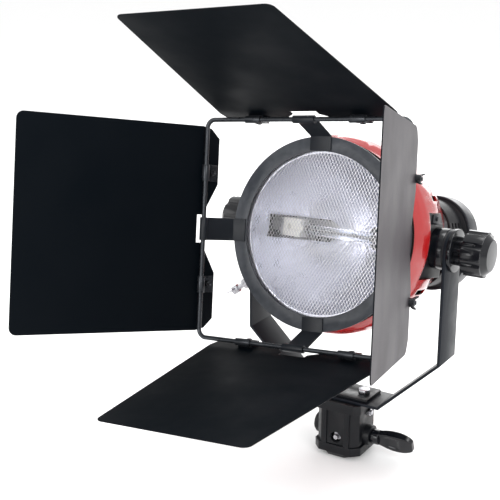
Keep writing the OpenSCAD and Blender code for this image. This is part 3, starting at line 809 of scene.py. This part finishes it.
@dataclass
class LampCoil:
    """The lamp's coiled filament and its ceramic end caps."""

    shop: Workshop
    pose: Pose
    depth: float = 18.0 * MM
    half: float = 27.0 * MM
    pitch: float = 1.25 * MM

    def build(self) -> bpy.types.Object:
        """Makes the coil and the caps.

        Returns:
            The filament with its caps.
        """
        clear_selection()
        bpy.ops.mesh.primitive_circle_add(vertices=6, radius=0.3 * MM, location=(1.3 * MM, 0.0, -self.half),
                                          rotation=(math.radians(90.0), 0.0, 0.0), fill_type="NGON")
        coil = settle(bpy.context.object)
        winding = coil.modifiers.new("winding", "SCREW")
        winding.screw_offset = self.pitch
        winding.iterations = int(2.0 * self.half / self.pitch)
        winding.steps = winding.render_steps = 12
        bpy.ops.object.modifier_apply(modifier=winding.name)
        parts = [coil]
        for sign in (-1.0, 1.0):
            bpy.ops.mesh.primitive_cylinder_add(vertices=32, radius=3.45 * MM, depth=10.3 * MM,
                                                location=(0.0, 0.0, sign * 44.3 * MM))
            parts.append(round_edges(settle(bpy.context.object), 0.6 * MM, 3))
            bpy.ops.mesh.primitive_cylinder_add(vertices=12, radius=0.5 * MM, depth=12.4 * MM,
                                                location=(0.0, 0.0, sign * 33.0 * MM))
            parts.append(round_edges(settle(bpy.context.object), 0.12 * MM, 1))
        clear_selection()
        for part in parts:
            part.select_set(True)
        bpy.context.view_layer.objects.active = coil
        bpy.ops.object.join()
        bpy.ops.object.mode_set(mode="EDIT")
        bpy.ops.mesh.select_all(action="SELECT")
        bpy.ops.mesh.normals_make_consistent(inside=False)
        bpy.ops.object.mode_set(mode="OBJECT")
        coil.matrix_world = (self.pose.head() @ Matrix.Translation((0.0, 0.0, self.depth))
                             @ Matrix.Rotation(math.radians(90.0), 4, "Y"))
        settle(coil)
        coil.name = "lamp_filament_coil"
        return self.shop.stand_in(coil, "lamp_filament")


@dataclass
class RedShell:
    """The red moulding, with its inside faces in a dark painted shade."""

    shop: Workshop
    pose: Pose
    mouth: float = 50.0 * MM
    bore: float = 86.0 * MM

    def build(self) -> bpy.types.Object:
        """Makes the shell.

        Returns:
            The shell.
        """
        piece = copy_of_node(self.shop.frame["nodes"]["shell"], "shell_moulding")
        round_edges(piece, 0.5 * MM, 2, 50.0)
        self.shop.stand_in(piece, "shell")
        # The faces looking into the hollow get the dark painted shade.
        piece.data.materials.append(SHELL_INSIDE_PAINTED_SHADE.build())
        to_head = self.pose.head().inverted()
        turn = to_head.to_3x3()

        def faces_inwards(centre: Vector, normal: Vector) -> bool:
            """Says whether a face looks at the beam's axis or forwards from the back wall."""
            place = to_head @ centre
            look = turn @ normal
            out = math.hypot(place.x, place.y)
            inwards = place.x * look.x + place.y * look.y < -0.35 * out
            return inwards or (look.z > 0.6 and place.z < self.mouth and out < self.bore)

        pick_faces(piece, faces_inwards)
        piece.active_material_index = 1
        bpy.ops.object.material_slot_assign()
        bpy.ops.object.mode_set(mode="OBJECT")
        return piece


# --------------------------------------------------------------------------- studio


@dataclass
class Studio:
    """Pale floor, soft lights and the camera."""

    pose: Pose
    stand_off: Vector = field(default_factory=lambda: Vector((0.4498, -0.9086, 0.2730)))
    yaw: float = 32.115
    pitch: float = 16.0
    lens: float = 74.7

    def build(self) -> None:
        """Sets up the floor, the lights, the world and the camera."""
        self._floor()
        self._camera()
        self._world()
        self._lamp("key_soft_box", (1.6, -1.3, 1.3), 0.9, 22.0)
        self._lamp("front_soft_box", (-0.35, -2.2, 0.75), 1.0, 16.0)
        self._lamp("fill_soft_box", (-1.6, -1.6, 1.2), 1.2, 8.0)
        self._lamp("top_soft_box", (0.4, 0.3, 2.3), 1.2, 30.0)
        self._lamp("back_soft_box", (-0.4, 2.2, 1.0), 1.6, 24.0)

    def _floor(self) -> None:
        """Lays the pale floor, wide enough to fill the view."""
        clear_selection()
        bpy.ops.mesh.primitive_plane_add(size=80.0, location=(0.0, 0.0, -0.001))
        floor = bpy.context.object
        floor.name = "studio_floor"
        paper = bpy.data.materials.new("backdrop_paper")
        paper.use_nodes = True
        shader = paper.node_tree.nodes["Principled BSDF"]
        shader.inputs["Base Color"].default_value = (0.97, 0.97, 0.97, 1.0)
        shader.inputs["Roughness"].default_value = 0.9
        floor.data.materials.append(paper)

    def _lamp(self, name: str, place: tuple[float, float, float], size: float, power: float) -> None:
        """Hangs one soft box, turned to the light.

        Args:
            name: The lamp's name.
            place: Where it hangs, in metres.
            size: The side of its square face.
            power: Its power in watts.
        """
        data = bpy.data.lights.new(name, "AREA")
        data.size = size
        data.energy = power
        lamp = bpy.data.objects.new(name, data)
        lamp.location = place
        aim = self.pose.pivot - Vector(place)
        lamp.rotation_euler = aim.to_track_quat("-Z", "Y").to_euler()
        bpy.context.scene.collection.objects.link(lamp)

    def _world(self) -> None:
        """Sets an even pale surrounding."""
        world = bpy.data.worlds.new("studio_air")
        bpy.context.scene.world = world
        world.use_nodes = True
        world.node_tree.nodes["Background"].inputs["Color"].default_value = (1.0, 1.0, 1.0, 1.0)
        world.node_tree.nodes["Background"].inputs["Strength"].default_value = 1.02
        bpy.context.scene.view_settings.view_transform = "Standard"

    def _camera(self) -> None:
        """Places the camera."""
        data = bpy.data.cameras.new("view_camera")
        data.lens = self.lens
        data.sensor_width = 36.0
        camera = bpy.data.objects.new("view_camera", data)
        camera.location = self.pose.pivot + self.stand_off
        camera.rotation_euler = (math.radians(90.0 - self.pitch), 0.0, math.radians(self.yaw))
        bpy.context.scene.collection.objects.link(camera)
        bpy.context.scene.camera = camera


def main() -> None:
    """Builds the light over its frame, then the studio."""
    logging.basicConfig(level=logging.INFO, format="%(name)s: %(message)s")
    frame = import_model()
    shop = Workshop(frame)
    shop.dress_nodes()
    pose = Pose()
    Studio(pose).build()
    Guard(shop, pose).build()
    RedShell(shop, pose).build()
    RoundedParts(shop).build()
    Leaves(shop, pose).build()
    ClipFasteners(shop, pose).build()
    LockLever(shop).build()
    LampCoil(shop, pose).build()


if __name__ == "__main__":
    main()
